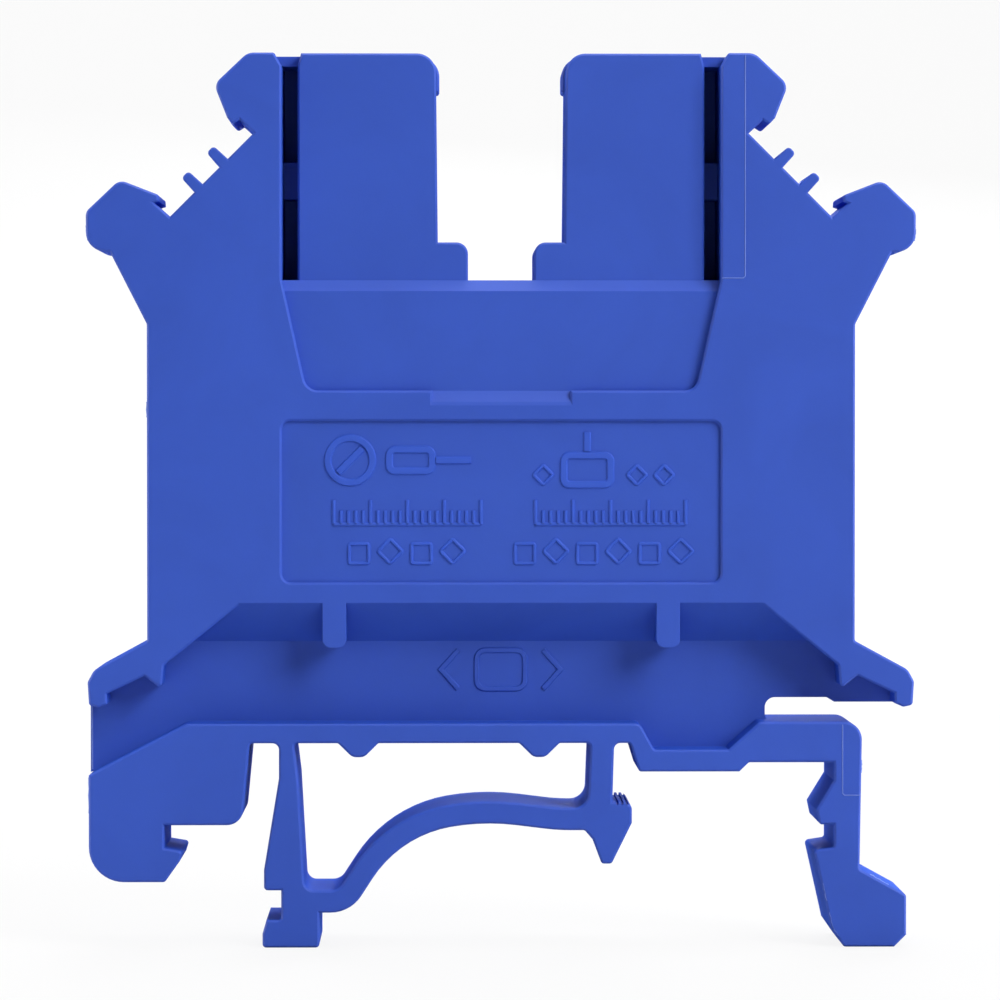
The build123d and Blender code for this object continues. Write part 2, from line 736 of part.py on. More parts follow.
def rail_frame():
    """Feet, beam, leg, bow spring and nose, full thickness, with bevelled rims."""
    path = bow_path()
    face = frame_face() + leg_face() + trace(path, line_width=bow_thickness) + nose_face(path[-1] @ 0)
    face = rounded_at(face, -leg_ankle_right, bow_foot_z + bow_thickness / 2, valley_rounding)
    face = rounded_at(face, -leg_top_left, frame_under_z, root_rounding)
    face = rounded_at(face, nose_post_right, frame_under_z, root_rounding)
    for x in (-left_foot_inner_top, -leg_top_right, nose_post_left):
        face = rounded_at(face, x, frame_under_z, edge_rounding)
    frame = moulded(face, front_y, back_y)
    for notch in nose_notches():
        frame -= notch
    return frame


def make_housing():
    housing = upper_body()
    housing += marker_ribs()
    housing += towers()
    housing += marker_slot_webs()
    housing += lower_web()
    housing += recess_ceiling()
    housing += rail_frame()
    housing -= clamp_chamber()
    housing -= bridge_shaft()
    housing -= bar_seat()
    housing -= wire_entry()
    housing -= arm_core()
    housing -= foot_core()
    return housing


def make_bar():
    """Flat strip with a collared thread at its middle and gripping grooves below each screw."""
    half = bar_length / 2
    front = clamp_y - bar_width / 2
    back = clamp_y + bar_width / 2
    bar = upward(rectangle(-half, half, front, back, bar_corner), bar_bottom_z, bar_top_z)
    collar_low = bar_bottom_z - bridge_collar_depth
    collar = Pos(0, clamp_y) * Circle(bridge_collar_radius)
    collar &= rectangle(-half, half, front, back)
    bar += upward(collar, collar_low, bar_bottom_z)
    bar -= upward(Pos(0, clamp_y) * Circle(bridge_thread_radius), collar_low, bar_top_z)
    for index in range(grip_groove_count):
        x = clamp_x + (index - (grip_groove_count - 1) / 2) * grip_groove_pitch
        groove = [(x - grip_groove_width / 2, bar_bottom_z), (x, bar_bottom_z + grip_groove_depth)]
        groove += [(x + grip_groove_width / 2, bar_bottom_z)]
        bar -= with_mirror(across(outline(groove), front, back))
    return bar


def make_cage(side):
    """Strip bent into a loop round the bar, with its lapped ends tapped for the screw."""
    half = cage_outer_width / 2
    top = cage_bottom_z + cage_height
    outer = rectangle(clamp_y - half, clamp_y + half, cage_bottom_z, top, cage_bend_radius)
    inner_half = cage_inner_width / 2
    inner_top = top - 2 * strip_thickness
    inner_low = cage_bottom_z + strip_thickness
    inner = rectangle(clamp_y - inner_half, clamp_y + inner_half, inner_low, inner_top, cage_inner_radius)
    lap_z = top - strip_thickness
    kerf = rectangle(clamp_y + inner_half, clamp_y + half, lap_z - cage_lap_kerf, lap_z)
    start = side * clamp_x - cage_length / 2
    cage = along(outer - inner - kerf, start, start + cage_length)
    hole = Pos(side * clamp_x, clamp_y) * Circle(thread_radius + thread_clearance)
    return cage - upward(hole, inner_top - cage_inner_radius, top)


def make_screw(side):
    """Slotted cheese-head screw whose tip bears on the current bar."""
    profile = [(0, bar_top_z), (thread_radius - screw_tip_chamfer, bar_top_z)]
    profile += [(thread_radius, bar_top_z + screw_tip_chamfer), (thread_radius, head_bottom_z)]
    profile += [(screw_head_radius, head_bottom_z), (screw_head_radius, head_top_z - screw_head_chamfer)]
    profile += [(screw_head_radius - screw_head_chamfer, head_top_z), (0, head_top_z)]
    screw = revolve(Plane.XZ * outline(profile), axis=Axis.Z)
    slot = rectangle(-screw_head_radius, screw_head_radius, -screw_slot_width / 2, screw_slot_width / 2)
    screw -= upward(slot, head_top_z - screw_slot_depth, head_top_z)
    return Pos(side * clamp_x, clamp_y, 0) * screw


os.makedirs("parts", exist_ok=True)
export_step(make_housing(), "parts/housing.step")
export_step(make_bar(), "parts/current_bar.step")
for side_name, side_sign in (("left", -1), ("right", 1)):
    export_step(make_cage(side_sign), f"parts/clamp_cage_{side_name}.step")
    export_step(make_screw(side_sign), f"parts/clamp_screw_{side_name}.step")
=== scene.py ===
import math
import random

import bmesh
import bpy
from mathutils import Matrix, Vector


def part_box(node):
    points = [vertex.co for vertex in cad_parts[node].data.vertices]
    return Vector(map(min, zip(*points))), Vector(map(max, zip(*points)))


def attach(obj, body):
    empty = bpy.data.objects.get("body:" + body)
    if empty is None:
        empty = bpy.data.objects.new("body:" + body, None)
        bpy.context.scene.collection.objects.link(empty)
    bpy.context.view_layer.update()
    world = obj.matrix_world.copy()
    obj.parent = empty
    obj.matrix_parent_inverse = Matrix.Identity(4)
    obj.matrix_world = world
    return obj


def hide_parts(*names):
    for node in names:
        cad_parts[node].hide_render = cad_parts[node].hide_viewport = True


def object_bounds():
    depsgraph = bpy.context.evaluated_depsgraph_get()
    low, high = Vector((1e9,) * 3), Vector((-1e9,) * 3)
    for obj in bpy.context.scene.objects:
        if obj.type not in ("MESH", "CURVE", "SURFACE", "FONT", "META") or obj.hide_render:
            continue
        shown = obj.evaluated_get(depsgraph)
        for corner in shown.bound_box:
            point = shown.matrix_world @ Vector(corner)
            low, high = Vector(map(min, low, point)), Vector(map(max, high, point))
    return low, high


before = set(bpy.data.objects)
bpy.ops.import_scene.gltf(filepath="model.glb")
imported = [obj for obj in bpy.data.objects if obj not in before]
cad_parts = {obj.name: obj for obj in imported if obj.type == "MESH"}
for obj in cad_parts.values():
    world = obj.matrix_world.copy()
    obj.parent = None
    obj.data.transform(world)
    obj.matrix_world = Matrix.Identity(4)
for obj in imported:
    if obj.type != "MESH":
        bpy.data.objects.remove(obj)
cad_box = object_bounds()

# All sizes in metres, given in millimetres times MM. X runs along the block, the closed side that the
# camera sees is at -Y, and Z is up from the rail's top face.
MM = 0.001

# Camera, from the picture's frame: where it stands, the point on the closed side that it looks at,
# and how much of that side its square picture spans
CAMERA_PLACE = Vector((-3.24, -228.1, 20.3)) * MM
CAMERA_TARGET = Vector((-0.07, -3.1, 16.67)) * MM
PICTURE_WIDTH = 51.22 * MM

# Studio
FLOOR_SIZE = 1.6
FLOOR_GREY = 0.5
FLOOR_ROUGHNESS = 0.9
FLOOR_GLOSS = 0.1
BACKDROP_BEND = 0.25
BACKDROP_DISTANCE = 0.30
BACKDROP_HEIGHT = 0.9
BACKDROP_STEPS = 12
BACKDROP_GLOW = 0.88
BACKDROP_IN_REFLECTIONS = 0.22
WORLD_LEVEL = 0.07
LIGHTS = {
    "key_light": {"place": (0.38, -0.36, 0.32), "size": 0.28, "watts": 2.9},
    "high_light": {"place": (0.20, -0.24, 0.44), "size": 0.24, "watts": 0.65},
    "top_light": {"place": (0.06, 0.05, 0.50), "size": 0.30, "watts": 1.8},
    "back_light": {"place": (-0.16, 0.34, 0.44), "size": 0.34, "watts": 1.0},
    "left_light": {"place": (-0.46, 0.05, 0.08), "size": 0.30, "watts": 2.2},
    "right_light": {"place": (0.46, 0.06, 0.05), "size": 0.30, "watts": 1.6},
    "low_back_light": {"place": (0.05, 0.42, 0.19), "size": 0.18, "watts": 1.5},
}

# Materials: colours, how far their noise moves tone and roughness, and how deep their grain is.
# Noise scales are in cycles per metre.
BLUE = (0.029, 0.082, 0.468)
# Paler copy of the blue plastic: a painted highlight on the witness lines and flash, where they catch light
HIGHLIGHT_BLUE = (0.16, 0.24, 0.66)
STRIP_ZINC = (0.66, 0.66, 0.63)
SCREW_ZINC = (0.62, 0.62, 0.60)
BRASS = (0.72, 0.53, 0.23)
BLUE_VARIATION = 0.06
# How much paler the raised marks are made: a painted highlight on the marks, while their smoother finish is
# real
MARK_HIGHLIGHT = 1.12
FLOW_SCALE = 130
GRAIN_SCALE = 9000
GRAIN_DEPTH = 0.012 * MM
SMOOTH_GRAIN_DEPTH = 0.002 * MM
PLASTIC_ROUGHNESS_SPREAD = 0.06
METAL_DARKEST = 0.84
METAL_PALEST = 1.10
TARNISH_SCALE = 700
SCRATCH_SCALE = 6000
SCRATCH_DEPTH = 0.004 * MM
METAL_ROUGHNESS_BELOW = 0.1
METAL_ROUGHNESS_ABOVE = 0.12

# Plastic's gloss, which fades on walls that are seen almost edge-on
PLASTIC_GLOSS = 0.32
GRAZING_GLOSS = 0.001
FADE_START = 0.45
FADE_END = 0.85

# Relief of every surface
EDGE_SOFTNESS = 0.05 * MM
EDGE_SAMPLES = 6
BUMP_STRENGTH = 0.3

# Closed side, as depths of its faces
FRONT_Y = cad_box[0][1]
LABEL_Y = FRONT_Y + 0.25 * MM
LOWER_WEB_Y = FRONT_Y + 2.5 * MM

# Raised strokes moulded on the closed side
STROKE_SINK = 0.03 * MM
STROKE_DRAFT = 0.9
BOLD_STROKE = (0.44 * MM, 0.09 * MM)
FINE_STROKE = (0.24 * MM, 0.08 * MM)
WEB_STROKE = (0.34 * MM, 0.08 * MM)
WITNESS_STROKE = (0.075 * MM, 0.03 * MM)
LEAST_MITRE = 0.3
ARC_STEPS = 28
CORNER_STEPS = 4

# Marks in the label recess, in millimetres
MARK_CORNER = 0.3
SCALE_DIVISIONS = 20
TICKS_PER_TALL = 5
SHORT_TICK = 0.7
TALL_TICK = 1.25
TILE_PITCH = 1.6
TILE_HEIGHT = 1.25
TILE_CORNER = 0.1
SQUARE_SHARE = 0.8

# Lines that the mould's inserts leave, as points (x, z) in millimetres
ARM_LINE = ((12.49, 39.42), (12.49, 28.14), (12.4, 28.04), (11.32, 28.04))
FOOT_LINE = ((17.52, 5.14), (17.52, 1.6), (17.62, 1.51), (18.42, 1.51))

# Flash on the rim of the closed side, as straight runs from (x, z) to (x, z) in millimetres, then on
# the right foot's edge, and the ridge along the lower web's left edge
FLASH_RUNS = (
    ((18.48, 2.65), (18.50, 3.3)),
    ((21.17, 29.95), (21.24, 30.55)),
    ((-21.15, 29.95), (-21.24, 30.7)),
    ((-18.14, 20.9), (-18.14, 21.7)),
    ((18.95, -2.6), (19.9, -3.13)),
    ((-21.13, 0.6), (-21.13, 2.45)),
)
EDGE_RUNS = (
    ((16.52, -3.0), (16.73, -3.92)),
    ((16.86, -4.5), (17.04, -5.3)),
    ((17.07, -5.35), (17.32, -5.71)),
)
FLASH_SEED = 7
FLASH_STEPS = 6
FLASH_RAGGEDNESS = 0.02
FLASH_DEPTH = 0.2 * MM
FLASH_STROKE = (0.09 * MM, 0.04 * MM)
EDGE_DEPTH = 0.02 * MM
EDGE_STROKE = (0.06 * MM, 0.03 * MM)
WEB_EDGE = ((-21.14, 2.7), (-21.14, 6.2))
WEB_EDGE_STROKE = (0.12 * MM, 0.08 * MM)

# Clamp screw thread, right-handed
THREAD_PITCH = 0.5 * MM
THREAD_DEPTH = 0.26 * MM
THREAD_SIDES = 48
THREAD_ROWS_PER_TURN = 8
SCREW_HEAD_HEIGHT = 2.0 * MM
SHANK_RADIUS = 1.45 * MM
TIP_CHAMFER = 0.4 * MM
HEAD_CHAMFER = 0.2 * MM
HEAD_UNDER_CHAMFER = 0.05 * MM
HEAD_SLOT_WIDTH = 0.7 * MM
HEAD_SLOT_DEPTH = 0.9 * MM


def new_material(name):
    """A node material with its output and Principled shader."""
    material = bpy.data.materials.new(name)
    material.use_nodes = True
    return material, material.node_tree.nodes, material.node_tree.links


def add_noise(nodes, links, scale, detail, roughness, distortion=0.0, stretch=(1, 1, 1)):
    """Noise in the object's own space, scale in cycles per metre, drawn out along an axis if asked."""
    place = nodes.new("ShaderNodeTexCoord")
    mapping = nodes.new("ShaderNodeMapping")
    mapping.inputs["Scale"].default_value = stretch
    noise = nodes.new("ShaderNodeTexNoise")
    noise.inputs["Scale"].default_value = scale
    noise.inputs["Detail"].default_value = detail
    noise.inputs["Roughness"].default_value = roughness
    noise.inputs["Distortion"].default_value = distortion
    links.new(place.outputs["Object"], mapping.inputs["Vector"])
    links.new(mapping.outputs["Vector"], noise.inputs["Vector"])
    return noise.outputs["Fac"]


def add_ramp(nodes, links, value, low, high, start=0.3, end=0.7):
    """Colour between low and high as the value runs from start to end."""
    ramp = nodes.new("ShaderNodeValToRGB")
    ramp.color_ramp.elements[0].position = start
    ramp.color_ramp.elements[0].color = (*low, 1)
    ramp.color_ramp.elements[1].position = end
    ramp.color_ramp.elements[1].color = (*high, 1)
    links.new(value, ramp.inputs["Fac"])
    return ramp.outputs["Color"]


def add_range(nodes, links, value, low, high, start=0.0, end=1.0):
    """Number between low and high as the value runs from start to end."""
    span = nodes.new("ShaderNodeMapRange")
    span.inputs["From Min"].default_value = start
    span.inputs["From Max"].default_value = end
    span.inputs["To Min"].default_value = low
    span.inputs["To Max"].default_value = high
    links.new(value, span.inputs["Value"])
    return span.outputs["Result"]


def shaded(colour, factor):
    """The colour made darker or paler by a factor."""
    return tuple(min(1.0, channel * factor) for channel in colour)


def add_relief(nodes, links, shader, height, depth):
    """Softened edges with a fine bump of the given depth on top."""
    soft_edges = nodes.new("ShaderNodeBevel")
    soft_edges.samples = EDGE_SAMPLES
    soft_edges.inputs["Radius"].default_value = EDGE_SOFTNESS
    bump = nodes.new("ShaderNodeBump")
    bump.inputs["Strength"].default_value = BUMP_STRENGTH
    bump.inputs["Distance"].default_value = depth
    links.new(height, bump.inputs["Height"])
    links.new(soft_edges.outputs["Normal"], bump.inputs["Normal"])
    links.new(bump.outputs["Normal"], shader.inputs["Normal"])


def moulded_plastic(name, colour, roughness, grain_depth):
    """Matt polyamide: faint cloudy flow marks, a fine spark-eroded grain and softened edges."""
    material, nodes, links = new_material(name)
    shader = nodes["Principled BSDF"]
    cloud = add_noise(nodes, links, FLOW_SCALE, detail=4, roughness=0.6, distortion=0.8)
    grain = add_noise(nodes, links, GRAIN_SCALE, detail=3, roughness=0.6)
    darker = shaded(colour, 1 - BLUE_VARIATION)
    paler = shaded(colour, 1 + BLUE_VARIATION)
    links.new(add_ramp(nodes, links, cloud, darker, paler), shader.inputs["Base Color"])
    smoothest = roughness - PLASTIC_ROUGHNESS_SPREAD
    roughest = roughness + PLASTIC_ROUGHNESS_SPREAD
    links.new(add_range(nodes, links, cloud, smoothest, roughest), shader.inputs["Roughness"])
    shader.inputs["IOR"].default_value = 1.5
    slant = nodes.new("ShaderNodeLayerWeight")
    slant.inputs["Blend"].default_value = 0.5
    facing = slant.outputs["Facing"]
    gloss = add_range(nodes, links, facing, PLASTIC_GLOSS, GRAZING_GLOSS, FADE_START, FADE_END)
    links.new(gloss, shader.inputs["Specular IOR Level"])
    shader.inputs["Subsurface Weight"].default_value = 0.12
    shader.inputs["Subsurface Radius"].default_value = (0.3, 0.5, 1.0)
    shader.inputs["Subsurface Scale"].default_value = 0.4 * MM
    add_relief(nodes, links, shader, grain, grain_depth)
    return material


def metal(name, colour, roughness, stretch):
    """Plated or rolled metal: cloudy tone, fine scratches drawn out along one axis and softened edges."""
    material, nodes, links = new_material(name)
    shader = nodes["Principled BSDF"]
    tone = add_noise(nodes, links, TARNISH_SCALE, detail=3, roughness=0.6, distortion=0.3)
    streaks = add_noise(nodes, links, SCRATCH_SCALE, detail=3, roughness=0.7, stretch=stretch)
    darker = shaded(colour, METAL_DARKEST)
    paler = shaded(colour, METAL_PALEST)
    links.new(add_ramp(nodes, links, tone, darker, paler), shader.inputs["Base Color"])
    shader.inputs["Metallic"].default_value = 1.0
    smoothest = roughness - METAL_ROUGHNESS_BELOW
    roughest = roughness + METAL_ROUGHNESS_ABOVE
    links.new(add_range(nodes, links, streaks, smoothest, roughest), shader.inputs["Roughness"])
    add_relief(nodes, links, shader, streaks, SCRATCH_DEPTH)
    return material


def paint(node, material):
    """Puts one material on all of a CAD node."""
    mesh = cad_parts[node].data
    mesh.materials.clear()
    mesh.materials.append(material)


def add_piece(name, mesh, material, body):
    """New piece that rides on a body and takes its finish from a slot."""
    mesh.materials.append(material)
    piece = bpy.data.objects.new(name, mesh)
    bpy.context.scene.collection.objects.link(piece)
    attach(piece, body)
    return piece


def stroke_sides(points, closed):
    """Unit mitre direction at each point of a line in X and Z, scaled so that the stroke keeps its width."""
    sides = []
    last = len(points) - 1
    for index, point in enumerate(points):
        before = points[index - 1] if closed or index > 0 else None
        after = points[(index + 1) % len(points)] if closed or index < last else None
        into = (point - before).normalized() if before is not None else (after - point).normalized()
        out = (after - point).normalized() if after is not None else into
        along = (into + out).normalized()
        side = Vector((-along.y, along.x))
        sides.append(side / max(LEAST_MITRE, side.dot(Vector((-into.y, into.x)))))
    return sides


def add_stroke(builder, points, base_y, stroke, closed=False):
    """Raised stroke with sloping flanks along points (x, z) in millimetres, on a face at base_y."""
    width, height = stroke
    points = [Vector(point) * MM for point in points]
    flank = height * STROKE_DRAFT
    section = [(-width / 2, STROKE_SINK), (-width / 2 + flank, -height), (width / 2 - flank, -height),
               (width / 2, STROKE_SINK)]
    rings = []
    for point, side in zip(points, stroke_sides(points, closed)):
        ring = []
        for offset, depth in section:
            place = point + side * offset
            ring.append(builder.verts.new((place.x, base_y + depth, place.y)))
        rings.append(ring)
    count = len(section)
    for index in range(len(rings) if closed else len(rings) - 1):
        here = rings[index]
        there = rings[(index + 1) % len(rings)]
        for corner in range(count):
            after = (corner + 1) % count
            builder.faces.new((here[corner], here[after], there[after], there[corner]))
    if not closed:
        builder.faces.new(rings[0])
        builder.faces.new(list(reversed(rings[-1])))


def circle(x, z, radius):
    """Points round a circle."""
    angles = [2 * math.pi * step / ARC_STEPS for step in range(ARC_STEPS)]
    return [(x + radius * math.cos(angle), z + radius * math.sin(angle)) for angle in angles]


def rounded_box(x_low, x_high, z_low, z_high, corner):
    """Points round a rectangle with rounded corners."""
    points = []
    middles = [(x_high - corner, z_high - corner), (x_low + corner, z_high - corner),
               (x_low + corner, z_low + corner), (x_high - corner, z_low + corner)]
    for quarter, middle in enumerate(middles):
        for step in range(CORNER_STEPS + 1):
            angle = math.pi / 2 * (quarter + step / CORNER_STEPS)
            points.append((middle[0] + corner * math.cos(angle), middle[1] + corner * math.sin(angle)))
    return points


def finished_mesh(name, builder):
    """Mesh data from a bmesh, with its faces turned outwards."""
    bmesh.ops.recalc_face_normals(builder, faces=builder.faces)
    mesh = bpy.data.meshes.new(name)
    builder.to_mesh(mesh)
    builder.free()
    return mesh


def add_scale(builder, x_low, x_high, z_low):
    """Plain graduated scale: a base line with short ticks and a tall one at every fifth."""
    add_stroke(builder, [(x_low, z_low), (x_high, z_low)], LABEL_Y, FINE_STROKE)
    for index in range(SCALE_DIVISIONS + 1):
        x = x_low + (x_high - x_low) * index / SCALE_DIVISIONS
        height = TALL_TICK if index % TICKS_PER_TALL == 0 else SHORT_TICK
        add_stroke(builder, [(x, z_low), (x, z_low + height)], LABEL_Y, FINE_STROKE)


def diamond(x, z, half):
    """Points round a square that stands on its corner, with rounded corners."""
    side = half * math.sqrt(0.5)
    upright = rounded_box(-side, side, -side, side, TILE_CORNER)
    return [(x + (a - b) * math.sqrt(0.5), z + (a + b) * math.sqrt(0.5)) for a, b in upright]


def add_tiles(builder, x_low, count, z_low):
    """Row of plain squares and diamonds by turns."""
    half = TILE_HEIGHT / 2
    side = half * SQUARE_SHARE
    for index in range(count):
        x = x_low + (index + 0.5) * TILE_PITCH
        square = rounded_box(x - side, x + side, z_low, z_low + 2 * side, TILE_CORNER)
        points = diamond(x, z_low + half, half) if index % 2 else square
        add_stroke(builder, points, LABEL_Y, FINE_STROKE, closed=True)


def make_label_marks(material):
    """Plain pictograms, scales and tiles, raised in the label recess. Places are in millimetres."""
    builder = bmesh.new()
    ring_x, ring_z, ring_radius, slot_reach = -7.75, 18.70, 1.15, 0.62
    add_stroke(builder, circle(ring_x, ring_z, ring_radius), LABEL_Y, BOLD_STROKE, closed=True)
    slot_low = (ring_x - slot_reach, ring_z - slot_reach)
    slot_high = (ring_x + slot_reach, ring_z + slot_reach)
    add_stroke(builder, [slot_low, slot_high], LABEL_Y, BOLD_STROKE)
    sleeve_left, sleeve_right, sleeve_half, wire_overlap, wire_right = -5.75, -3.55, 0.55, 0.2, -1.55
    sleeve = rounded_box(sleeve_left, sleeve_right, ring_z - sleeve_half, ring_z + sleeve_half, MARK_CORNER)
    add_stroke(builder, sleeve, LABEL_Y, BOLD_STROKE, closed=True)
    add_stroke(builder, [(sleeve_right + wire_overlap, ring_z), (wire_right, ring_z)], LABEL_Y, BOLD_STROKE)
    cage_left, cage_right, cage_low, cage_high = 3.2, 5.6, 17.45, 18.95
    cage = rounded_box(cage_left, cage_right, cage_low, cage_high, MARK_CORNER)
    add_stroke(builder, cage, LABEL_Y, BOLD_STROKE, closed=True)
    screw_x, screw_low, screw_high = (cage_left + cage_right) / 2, 19.15, 20.15
    add_stroke(builder, [(screw_x, screw_low), (screw_x, screw_high)], LABEL_Y, BOLD_STROKE)
    small = 0.5
    for x in (2.15, 6.95, 8.35):
        add_stroke(builder, diamond(x, cage_low + small, small), LABEL_Y, FINE_STROKE, closed=True)
    scales_z, tiles_z = 15.42, 13.42
    add_scale(builder, -8.6, -1.05, scales_z)
    add_scale(builder, 1.75, 9.45, scales_z)
    add_tiles(builder, -8.1, 4, tiles_z)
    add_tiles(builder, 0.4, 6, tiles_z)
    add_piece("label_marks", finished_mesh("label_marks", builder), material, "block")


def make_web_mark(material):
    """Plain rounded bar between two chevrons, raised on the lower web. Places are in millimetres."""
    builder = bmesh.new()
    middle_z, half_height, reach, barb = 7.85, 1.0, 3.1, 2.2
    bar_half, bar_corner = 1.25, 0.45
    for side in (-1, 1):
        chevron = [(side * barb, middle_z + half_height), (side * reach, middle_z),
                   (side * barb, middle_z - half_height)]
        add_stroke(builder, chevron, LOWER_WEB_Y, WEB_STROKE)
    bar = rounded_box(-bar_half, bar_half, middle_z - half_height, middle_z + half_height, bar_corner)
    add_stroke(builder, bar, LOWER_WEB_Y, WEB_STROKE, closed=True)
    add_piece("web_mark", finished_mesh("web_mark", builder), material, "block")


def cut_away(mesh, cutter_mesh):
    """The mesh less the cutter."""
    scene = bpy.context.scene
    solid = bpy.data.objects.new("cut_solid", mesh)
    cutter = bpy.data.objects.new("cut_tool", cutter_mesh)
    scene.collection.objects.link(solid)
    scene.collection.objects.link(cutter)
    cut = solid.modifiers.new("cut", "BOOLEAN")
    cut.operation = "DIFFERENCE"
    cut.solver = "EXACT"
    cut.object = cutter
    graph = bpy.context.evaluated_depsgraph_get()
    result = bpy.data.meshes.new_from_object(solid.evaluated_get(graph))
    bpy.data.objects.remove(solid)
    bpy.data.objects.remove(cutter)
    return result


def thread_height(angle, z, start_z):
    """Share of the thread's depth at a place on the shank, from 0 in the root to 1 on the crest."""
    turn = ((z - start_z) / THREAD_PITCH - angle / (2 * math.pi)) % 1.0
    return 1 - abs(2 * turn - 1)


def screw_outline(low_z, high_z, head_radius):
    """Rows of the screw from its tip up, as height, radius and whether the row is threaded."""
    head_low = high_z - SCREW_HEAD_HEIGHT
    shank = head_low - low_z
    steps = int(shank / THREAD_PITCH * THREAD_ROWS_PER_TURN)
    rows = []
    for step in range(steps + 1):
        z = low_z + shank * step / steps
        tip = max(0.0, TIP_CHAMFER - (z - low_z))
        rows.append((z, SHANK_RADIUS - tip, True))
    rows.append((head_low, head_radius - HEAD_UNDER_CHAMFER, False))
    rows.append((head_low + HEAD_UNDER_CHAMFER, head_radius, False))
    rows.append((high_z - HEAD_CHAMFER, head_radius, False))
    rows.append((high_z, head_radius - HEAD_CHAMFER, False))
    return rows


def slot_cutter(centre_x, centre_y, head_top, head_radius):
    """Block that cuts the slot for the screwdriver."""
    cutter = bmesh.new()
    bmesh.ops.create_cube(cutter, size=1)
    length = 3 * head_radius
    bmesh.ops.scale(cutter, vec=(length, HEAD_SLOT_WIDTH, 2 * HEAD_SLOT_DEPTH), verts=cutter.verts)
    bmesh.ops.translate(cutter, vec=(centre_x, centre_y, head_top), verts=cutter.verts)
    return finished_mesh("slot_cutter", cutter)


def make_screw(side, material):
    """Clamp screw with a rolled thread and a slotted cheese head, in the place of the plain one."""
    node = f"clamp_screw_{side}"
    low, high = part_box(node)
    centre_x = (low[0] + high[0]) / 2
    centre_y = (low[1] + high[1]) / 2
    head_radius = (high[0] - low[0]) / 2
    builder = bmesh.new()
    rings = []
    for z, radius, threaded in screw_outline(low[2], high[2], head_radius):
        ring = []
        for index in range(THREAD_SIDES):
            angle = 2 * math.pi * index / THREAD_SIDES
            depth = THREAD_DEPTH * (1 - thread_height(angle, z, low[2])) if threaded else 0
            depth = min(depth, max(0.0, radius - (SHANK_RADIUS - THREAD_DEPTH)))
            x = centre_x + (radius - depth) * math.cos(angle)
            y = centre_y + (radius - depth) * math.sin(angle)
            ring.append(builder.verts.new((x, y, z)))
        rings.append(ring)
    for here, there in zip(rings, rings[1:]):
        for index in range(THREAD_SIDES):
            after = (index + 1) % THREAD_SIDES
            builder.faces.new((here[index], here[after], there[after], there[index]))
    builder.faces.new(list(reversed(rings[0])))
    builder.faces.new(rings[-1])
    screw_mesh = finished_mesh(node, builder)
    mesh = cut_away(screw_mesh, slot_cutter(centre_x, centre_y, high[2], head_radius))
    piece = add_piece(f"threaded_screw_{side}", mesh, material, f"screw_{side}")
    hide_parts(node)


def make_witness_lines(material):
    """Fine lines that inserts of the mould leave on the right arm and the right foot."""
    builder = bmesh.new()
    for line in (ARM_LINE, FOOT_LINE):
        add_stroke(builder, line, FRONT_Y, WITNESS_STROKE)
    add_piece("witness_lines", finished_mesh("witness_lines", builder), material, "block")


def ragged_run(start, end, generator):
    """Points from start to end that waver to both sides, but not at the ends."""
    along = (end[0] - start[0], end[1] - start[1])
    length = math.hypot(*along)
    points = []
    for step in range(FLASH_STEPS + 1):
        share = step / FLASH_STEPS
        swell = FLASH_RAGGEDNESS * generator.uniform(-1, 1) if 0 < step < FLASH_STEPS else 0
        x = start[0] + along[0] * share - along[1] / length * swell
        z = start[1] + along[1] * share + along[0] / length * swell
        points.append((x, z))
    return points


def make_flash(material):
    """Thin ragged flash that the mould's parting line left at a few places on the rim."""
    builder = bmesh.new()
    generator = random.Random(FLASH_SEED)
    runs = [(run, FLASH_DEPTH, FLASH_STROKE) for run in FLASH_RUNS]
    runs += [(run, EDGE_DEPTH, EDGE_STROKE) for run in EDGE_RUNS]
    for (start, end), depth, stroke in runs:
        add_stroke(builder, ragged_run(start, end, generator), FRONT_Y + depth, stroke)
    add_stroke(builder, WEB_EDGE, LOWER_WEB_Y, WEB_EDGE_STROKE)
    add_piece("mould_flash", finished_mesh("mould_flash", builder), material, "block")


def white_stage(name):
    """Pale floor paint that reads as white in the picture and still takes the object's shadow."""
    material, nodes, links = new_material(name)
    shader = nodes["Principled BSDF"]
    shader.inputs["Base Color"].default_value = (FLOOR_GREY, FLOOR_GREY, FLOOR_GREY, 1)
    shader.inputs["Roughness"].default_value = FLOOR_ROUGHNESS
    shader.inputs["Specular IOR Level"].default_value = FLOOR_GLOSS
    glow = nodes.new("ShaderNodeEmission")
    glow.inputs["Color"].default_value = (1, 1, 1, 1)
    path = nodes.new("ShaderNodeLightPath")
    mirrored = nodes.new("ShaderNodeMath")
    mirrored.operation = "MULTIPLY"
    mirrored.inputs[1].default_value = BACKDROP_IN_REFLECTIONS
    links.new(path.outputs["Is Glossy Ray"], mirrored.inputs[0])
    seen = nodes.new("ShaderNodeMath")
    seen.operation = "MAXIMUM"
    links.new(path.outputs["Is Camera Ray"], seen.inputs[0])
    links.new(mirrored.outputs["Value"], seen.inputs[1])
    share = nodes.new("ShaderNodeMath")
    share.operation = "MULTIPLY"
    share.inputs[1].default_value = BACKDROP_GLOW
    links.new(seen.outputs["Value"], share.inputs[0])
    mix = nodes.new("ShaderNodeMixShader")
    links.new(share.outputs["Value"], mix.inputs["Fac"])
    links.new(shader.outputs["BSDF"], mix.inputs[1])
    links.new(glow.outputs["Emission"], mix.inputs[2])
    links.new(mix.outputs["Shader"], nodes["Material Output"].inputs["Surface"])
    return material


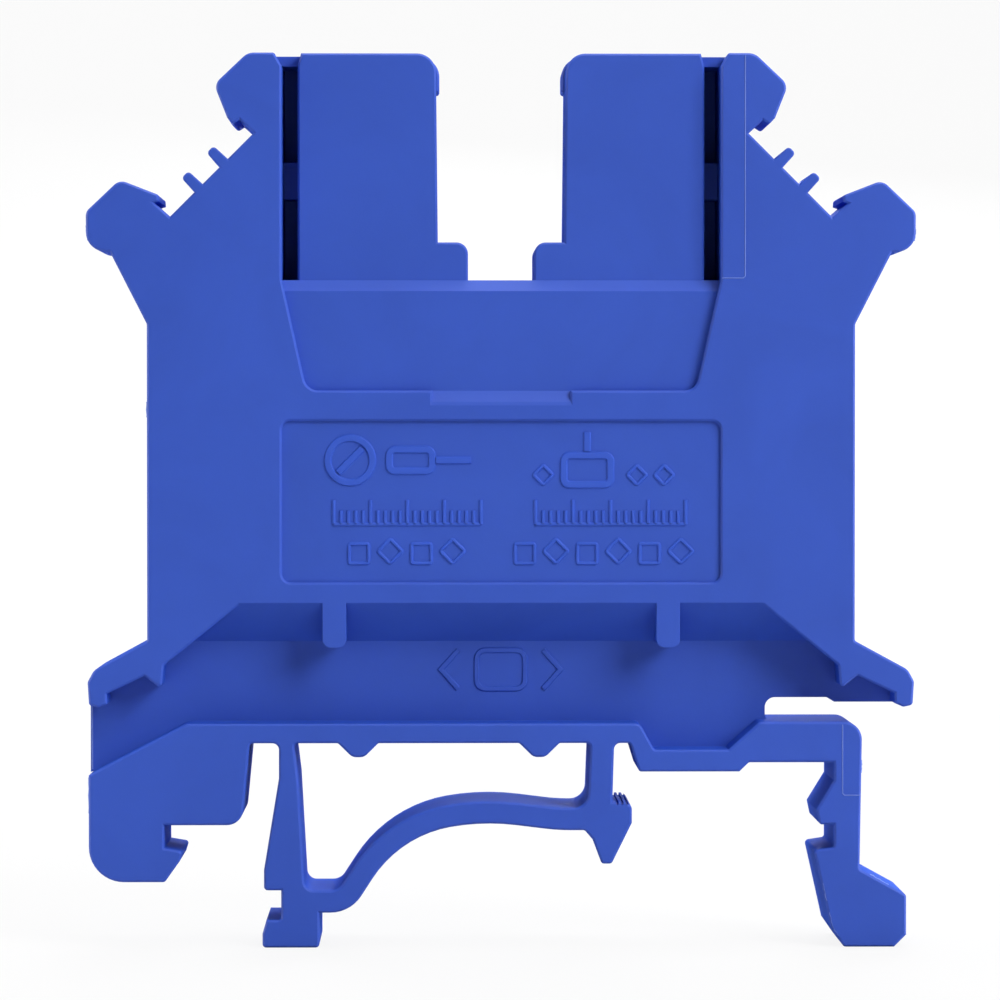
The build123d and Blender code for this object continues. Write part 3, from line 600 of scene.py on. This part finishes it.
def make_studio():
    """Floor that sweeps up into a backdrop behind the object."""
    floor_z = cad_box[0][2]
    profile = [(-FLOOR_SIZE, floor_z)]
    for step in range(BACKDROP_STEPS + 1):
        angle = math.pi / 2 * step / BACKDROP_STEPS
        profile.append((BACKDROP_DISTANCE + BACKDROP_BEND * math.sin(angle),
                        floor_z + BACKDROP_BEND * (1 - math.cos(angle))))
    profile.append((BACKDROP_DISTANCE + BACKDROP_BEND, BACKDROP_HEIGHT))
    points = [(side * FLOOR_SIZE, y, z) for y, z in profile for side in (-1, 1)]
    faces = [(2 * i, 2 * i + 1, 2 * i + 3, 2 * i + 2) for i in range(len(profile) - 1)]
    mesh = bpy.data.meshes.new("studio_floor")
    mesh.from_pydata(points, [], faces)
    for face in mesh.polygons:
        face.use_smooth = True
    mesh.materials.append(white_stage("studio_white"))
    floor = bpy.data.objects.new("studio_floor", mesh)
    bpy.context.scene.collection.objects.link(floor)


def make_world():
    """Even surroundings: a plain light level on the object, white where the camera sees it."""
    world = bpy.data.worlds.new("surroundings")
    bpy.context.scene.world = world
    world.use_nodes = True
    nodes, links = world.node_tree.nodes, world.node_tree.links
    background = nodes["Background"]
    background.inputs["Color"].default_value = (1, 1, 1, 1)
    path = nodes.new("ShaderNodeLightPath")
    level = nodes.new("ShaderNodeMapRange")
    level.inputs["To Min"].default_value = WORLD_LEVEL
    level.inputs["To Max"].default_value = 1.0
    links.new(path.outputs["Is Camera Ray"], level.inputs["Value"])
    links.new(level.outputs["Result"], background.inputs["Strength"])


def make_light(name, place, size, watts):
    """Square soft box that faces the object's middle."""
    lamp = bpy.data.lights.new(name, "AREA")
    lamp.size = size
    lamp.energy = watts
    light = bpy.data.objects.new(name, lamp)
    bpy.context.scene.collection.objects.link(light)
    light.location = place
    aim = CAMERA_TARGET - Vector(place)
    light.rotation_euler = aim.to_track_quat("-Z", "Y").to_euler()


def make_camera():
    """Camera that looks at the closed side from the photo's place."""
    view = CAMERA_TARGET - CAMERA_PLACE
    data = bpy.data.cameras.new("camera")
    data.sensor_fit = "HORIZONTAL"
    data.angle = 2 * math.atan(PICTURE_WIDTH / 2 / view.length)
    data.clip_start = 0.01
    data.clip_end = 10
    camera = bpy.data.objects.new("camera", data)
    bpy.context.scene.collection.objects.link(camera)
    camera.location = CAMERA_PLACE
    camera.rotation_euler = view.to_track_quat("-Z", "Y").to_euler()
    bpy.context.scene.camera = camera


bpy.context.scene.view_settings.view_transform = "Standard"
make_camera()
make_world()
make_studio()
for light_name, light in LIGHTS.items():
    make_light(light_name, **light)

blue = moulded_plastic("blue_polyamide", BLUE, roughness=0.54, grain_depth=GRAIN_DEPTH)
# Smoother, glossier copy of the blue for the raised marks, also made paler as a painted highlight
smooth_highlit_blue = moulded_plastic("smooth_highlit_blue_polyamide", shaded(BLUE, MARK_HIGHLIGHT), roughness=0.42,
                              grain_depth=SMOOTH_GRAIN_DEPTH)
# Same polyamide made pale as a painted highlight, for the witness lines and flash that catch light
highlight_blue = moulded_plastic("highlight_blue_polyamide", HIGHLIGHT_BLUE, roughness=0.42, grain_depth=SMOOTH_GRAIN_DEPTH)
cage_zinc = metal("zinc_plated_strip", STRIP_ZINC, roughness=0.34, stretch=(0.15, 1, 1))
screw_zinc = metal("zinc_plated_screw", SCREW_ZINC, roughness=0.30, stretch=(1, 1, 0.3))
brass = metal("rolled_brass", BRASS, roughness=0.34, stretch=(0.08, 1, 1))
paint("housing", blue)
paint("current_bar", brass)
for side_name in ("left", "right"):
    paint(f"clamp_cage_{side_name}", cage_zinc)
    make_screw(side_name, screw_zinc)
make_label_marks(smooth_highlit_blue)
make_web_mark(blue)
# The witness lines and flash take the pale blue, a painted highlight
make_witness_lines(highlight_blue)
make_flash(highlight_blue)
